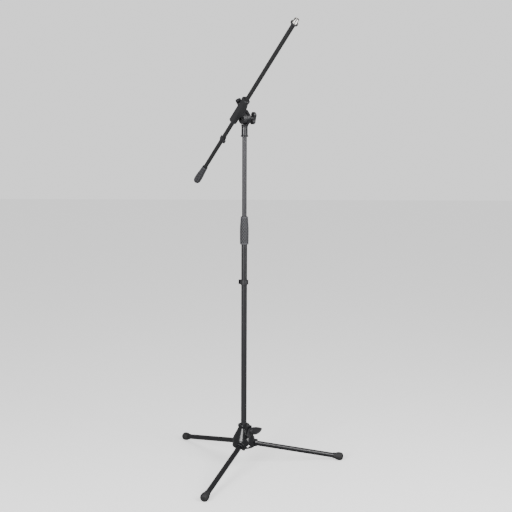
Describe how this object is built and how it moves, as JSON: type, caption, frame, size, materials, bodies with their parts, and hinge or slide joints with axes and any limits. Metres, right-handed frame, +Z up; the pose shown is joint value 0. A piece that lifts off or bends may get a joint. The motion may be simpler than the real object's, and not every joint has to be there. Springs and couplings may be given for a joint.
{
  "type": "boom microphone stand",
  "caption": "Free-standing microphone stand: folding tripod base, sliding column with a twist clutch, and a tilting, sliding boom with a threaded tip.",
  "frame": {"origin": "on the floor, below the centre of the stand's bounding box, with the legs open", "axes": "+Z up along the column; +X to the right and +Y away, seen from the side that the boom's tip leans towards; the first leg lies 8.9 degrees from +X towards +Y"},
  "size_m": [0.5912, 0.6248, 1.5272],
  "materials": {
    "gloss_hub": "glossy black moulded nylon",
    "gloss_head": "gloss black paint on a die casting",
    "satin_moulding": "satin black moulded nylon",
    "inner_nylon": "plain black moulded nylon",
    "leg_paint": "gloss black powder coat on steel tube",
    "boom_paint": "satin black powder coat on steel tube",
    "column_paint": "satin dark grey powder coat on steel tube",
    "grey_tube": "satin mid grey coated steel tube",
    "grip_rubber": "dark textured rubber",
    "foot_rubber": "ribbed black rubber",
    "zinc_steel": "bright zinc plate",
    "bright_thread": "bright nickel plate",
    "insert_brass": "turned brass"
  },
  "bodies": {
    "hub": {"hub_housing": "gloss_hub", "hub_liner_bush": "inner_nylon", "hub_clamp_pad": "inner_nylon", "hub_clamp_insert": "insert_brass", "leg_pin_1": "zinc_steel", "leg_pin_2": "zinc_steel", "leg_pin_3": "zinc_steel"},
    "leg_1": {"leg_knuckle_1": "satin_moulding", "leg_tube_1": "leg_paint", "foot_1": "foot_rubber"},
    "leg_2": {"leg_knuckle_2": "satin_moulding", "leg_tube_2": "leg_paint", "foot_2": "foot_rubber"},
    "leg_3": {"leg_knuckle_3": "satin_moulding", "leg_tube_3": "leg_paint", "foot_3": "foot_rubber"},
    "hub_wing": {"hub_wing_screw": "zinc_steel", "hub_wing_handle": "satin_moulding"},
    "lower_column": {"lower_tube": "column_paint", "column_end_plug": "inner_nylon", "clutch_threaded_bush": "zinc_steel", "clutch_collet": "inner_nylon"},
    "column_clip": {"column_cable_clip": "satin_moulding"},
    "clutch": {"clutch_nut": "satin_moulding", "clutch_grip": "grip_rubber"},
    "guide_bush": {"upper_guide_bush": "inner_nylon"},
    "upper_column": {"upper_tube": "grey_tube", "head_yoke": "gloss_head", "tilt_friction_disc": "inner_nylon", "tilt_washer": "zinc_steel"},
    "tilt_knob": {"tilt_knob_handle": "satin_moulding", "tilt_knob_insert": "insert_brass"},
    "holder": {"boom_holder": "satin_moulding", "pivot_bolt": "zinc_steel", "boom_clamp_pad": "inner_nylon", "boom_clamp_insert": "insert_brass"},
    "clamp_knob": {"boom_clamp_screw": "zinc_steel", "boom_clamp_knob": "satin_moulding", "boom_knob_insert": "insert_brass"},
    "boom": {"boom_tube": "boom_paint", "boom_end_stud": "zinc_steel", "thread_adapter": "bright_thread", "boom_rear_grip": "grip_rubber"},
    "lock_ring": {"adapter_lock_ring": "satin_moulding"},
    "boom_clip": {"boom_cable_clip": "satin_moulding"}
  },
  "joints": [
    {"name": "leg_1_fold", "type": "hinge", "parent": "hub", "child": "leg_1", "pos_m": [-0.03515, 0.03083, 0.0833], "axis": [-0.1547, 0.988, 0], "range_deg": [0, 77.5]},
    {"name": "leg_2_fold", "type": "hinge", "parent": "hub", "child": "leg_2", "pos_m": [-0.07877, 0.04767, 0.0833], "axis": [-0.7782, -0.628, 0], "range_deg": [0, 77.5]},
    {"name": "leg_3_fold", "type": "hinge", "parent": "hub", "child": "leg_3", "pos_m": [-0.07154, 0.00146, 0.0833], "axis": [0.933, -0.36, 0], "range_deg": [0, 77.5]},
    {"name": "hub_wing_turn", "type": "hinge", "parent": "hub", "child": "hub_wing", "pos_m": [-0.06182, 0.02666, 0.135], "axis": [0.628, -0.7782, 0], "range_deg": [0, 360]},
    {"name": "column_slide", "type": "slide", "parent": "hub", "child": "lower_column", "axis": [0, 0, 1], "range_m": [-0.32, 0.012]},
    {"name": "column_clip_slide", "type": "slide", "parent": "lower_column", "child": "column_clip", "axis": [0, 0, 1], "range_m": [-0.16, 0.12]},
    {"name": "clutch_twist", "type": "hinge", "parent": "lower_column", "child": "clutch", "pos_m": [-0.06182, 0.02666, 0.83], "axis": [0, 0, 1], "range_deg": [0, 180]},
    {"name": "height_slide", "type": "slide", "parent": "lower_column", "child": "guide_bush", "axis": [0, 0, 1], "range_m": [-0.265, 0.34]},
    {"name": "head_turn", "type": "hinge", "parent": "guide_bush", "child": "upper_column", "pos_m": [-0.06182, 0.02666, 0.446], "axis": [0, 0, 1], "continuous": true},
    {"name": "tilt_knob_turn", "type": "hinge", "parent": "upper_column", "child": "tilt_knob", "pos_m": [-0.06182, 0.02666, 1.2167], "axis": [0.849, 0.5284, 0], "range_deg": [0, 360]},
    {"name": "boom_tilt", "type": "hinge", "parent": "upper_column", "child": "holder", "pos_m": [-0.06182, 0.02666, 1.2167], "axis": [-0.849, -0.5284, 0], "range_deg": [-130, 49]},
    {"name": "clamp_knob_turn", "type": "hinge", "parent": "holder", "child": "clamp_knob", "pos_m": [-0.07117, -0.02739, 1.25191], "axis": [-0.3446, 0.5536, 0.7581], "range_deg": [0, 360]},
    {"name": "boom_slide", "type": "slide", "parent": "holder", "child": "boom", "axis": [0.4006, -0.6436, 0.6521], "range_m": [-0.345, 0.078]},
    {"name": "boom_clip_slide", "type": "slide", "parent": "boom", "child": "boom_clip", "axis": [0.4006, -0.6436, 0.6521], "range_m": [-0.14, 0]},
    {"name": "lock_ring_turn", "type": "hinge", "parent": "boom", "child": "lock_ring", "pos_m": [0.08707, -0.28163, 1.50949], "axis": [0.4006, -0.6436, 0.6521], "continuous": true}
  ]
}
